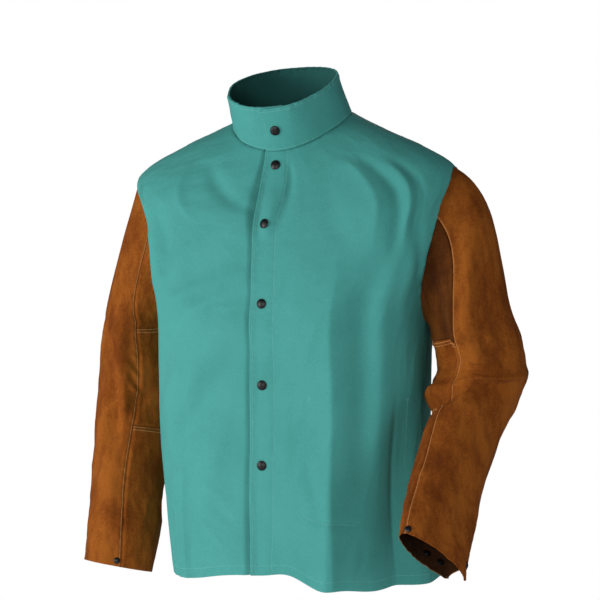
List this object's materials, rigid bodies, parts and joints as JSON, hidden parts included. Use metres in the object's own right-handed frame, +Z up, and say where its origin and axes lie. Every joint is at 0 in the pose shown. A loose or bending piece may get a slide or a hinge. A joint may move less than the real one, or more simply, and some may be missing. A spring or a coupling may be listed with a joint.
{
  "type": "welding jacket",
  "caption": "Work jacket in worn form: cotton body with a stand collar and a snap-fastened placket, and long suede sleeves with snap cuffs, open at neck, hem and cuffs.",
  "frame": {"origin": "middle of the neck opening, level with the tops of the shoulders, where the jacket hangs on its wearer", "axes": "+Z up, -Y the way the front faces, +X the wearer's left"},
  "size_m": [0.7618, 0.3918, 0.8639],
  "materials": {
    "cotton": "matte woven cotton",
    "suede": "napped suede",
    "snap": "gloss black enamel"
  },
  "bodies": {
    "root": {"front_left": "cotton", "front_right": "cotton", "back": "cotton", "placket": "cotton", "collar": "cotton", "snap_collar": "snap", "snap_front_1": "snap", "snap_front_2": "snap", "snap_front_3": "snap", "snap_front_4": "snap", "snap_front_5": "snap", "sleeve_left_top": "suede", "sleeve_left_under_upper": "suede", "sleeve_left_under_elbow": "suede", "sleeve_left_under_lower": "suede", "snap_cuff_left_1": "snap", "snap_cuff_left_2": "snap", "snap_cuff_left_3": "snap", "snap_cuff_left_4": "snap", "sleeve_right_top": "suede", "sleeve_right_under_upper": "suede", "sleeve_right_under_elbow": "suede", "sleeve_right_under_lower": "suede", "snap_cuff_right_1": "snap", "snap_cuff_right_2": "snap", "snap_cuff_right_3": "snap", "snap_cuff_right_4": "snap"}
  },
  "joints": []
}
